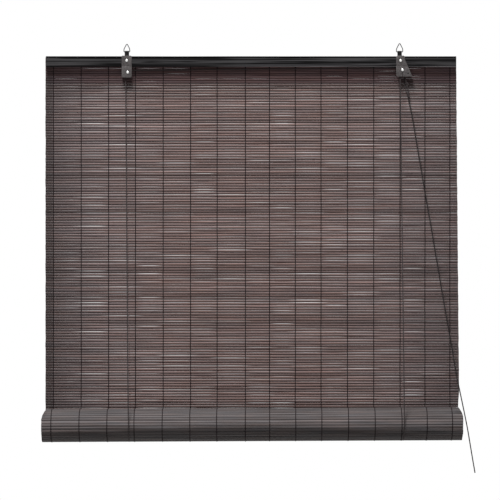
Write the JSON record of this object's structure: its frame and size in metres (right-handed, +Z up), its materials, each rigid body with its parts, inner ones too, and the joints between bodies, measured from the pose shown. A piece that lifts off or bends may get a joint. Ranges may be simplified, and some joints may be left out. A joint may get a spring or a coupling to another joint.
{
  "type": "roll up blind",
  "caption": "Bamboo roll-up blind, half let down: dark slats bound by yarn, black headrail on wire-loop hangers, pulleys, cam cord lock, rolled lower end and a slanting pull cord.",
  "frame": {"origin": "midway along the headrail, on the line where the two hooks bear inside the wire loops", "axes": "+X along the headrail to the cord lock's side, +Y to the wall, +Z up"},
  "size_m": [0.833, 0.0743, 0.831],
  "materials": {
    "slat": "stained bamboo, satin",
    "rail": "black stained wood",
    "rod": "stained wood",
    "yarn": "twisted yarn",
    "cord": "braided cord",
    "hanger": "dull grey-brown plating",
    "wire": "darkened wire",
    "rivet": "bright",
    "pulley": "moulded",
    "cam": "plain",
    "staple": "plain"
  },
  "bodies": {
    "headrail": {"headrail": "rail", "top_hem": "slat", "hem_yarns": "yarn", "hung_slats": "slat", "hung_yarns": "yarn", "staples": "staple", "left_hanger": "hanger", "left_fixing_rivet": "rivet", "left_axle": "rivet", "lock_hanger": "hanger", "lock_fixing_rivet": "rivet", "lock_axle": "rivet", "lock_cam_pin": "rivet", "left_front_cord": "cord", "left_back_cord": "cord", "left_knot": "cord", "right_front_cord": "cord", "right_back_cord": "cord", "right_knot": "cord", "cross_cord": "cord", "lock_cord": "cord", "join_knot": "cord", "pull_cord": "cord"},
    "left_loop": {"left_loop": "wire"},
    "right_loop": {"lock_loop": "wire"},
    "left_pulley": {"left_pulley": "pulley"},
    "lock_pulley": {"lock_pulley": "pulley"},
    "lock_cam": {"lock_cam": "cam"},
    "lift_loops": {"left_bight": "cord", "right_bight": "cord"},
    "roll": {"rolled_slats": "slat", "roll_yarns": "yarn", "bottom_rod": "rod"}
  },
  "joints": [
    {"name": "roll_lift", "type": "slide", "parent": "headrail", "child": "lift_loops", "axis": [0, 0, 1], "range_m": [0, 0.573], "deforming": ["hung_slats", "hung_yarns", "left_front_cord", "right_front_cord", "left_back_cord", "right_back_cord", "pull_cord"]},
    {"name": "roll_turn", "type": "hinge", "parent": "lift_loops", "child": "roll", "pos_m": [0, -0.0273, -0.735], "axis": [-1, 0, 0], "range_deg": [0, 1080]},
    {"name": "left_pulley_turn", "type": "hinge", "parent": "headrail", "child": "left_pulley", "pos_m": [-0.24, -0.0028, -0.0542], "axis": [0, 1, 0], "continuous": true},
    {"name": "lock_pulley_turn", "type": "hinge", "parent": "headrail", "child": "lock_pulley", "pos_m": [0.2918, -0.0028, -0.0494], "axis": [0, 1, 0], "continuous": true},
    {"name": "lock_cam_tilt", "type": "hinge", "parent": "headrail", "child": "lock_cam", "pos_m": [0.3028, -0.0028, -0.0565], "axis": [0, -1, 0], "range_deg": [0, 30]},
    {"name": "left_loop_swing", "type": "hinge", "parent": "headrail", "child": "left_loop", "pos_m": [-0.242, 0, -0.0141], "axis": [1, 0, 0], "range_deg": [-75, 75]},
    {"name": "right_loop_swing", "type": "hinge", "parent": "headrail", "child": "right_loop", "pos_m": [0.2867, 0, -0.0141], "axis": [1, 0, 0], "range_deg": [-75, 75]}
  ],
  "couplings": [
    {"joint": "roll_turn", "follows": "roll_lift", "rad_per_m": 32.896},
    {"joint": "left_pulley_turn", "follows": "roll_lift", "rad_per_m": 465.1},
    {"joint": "lock_pulley_turn", "follows": "roll_lift", "rad_per_m": 465.1}
  ]
}
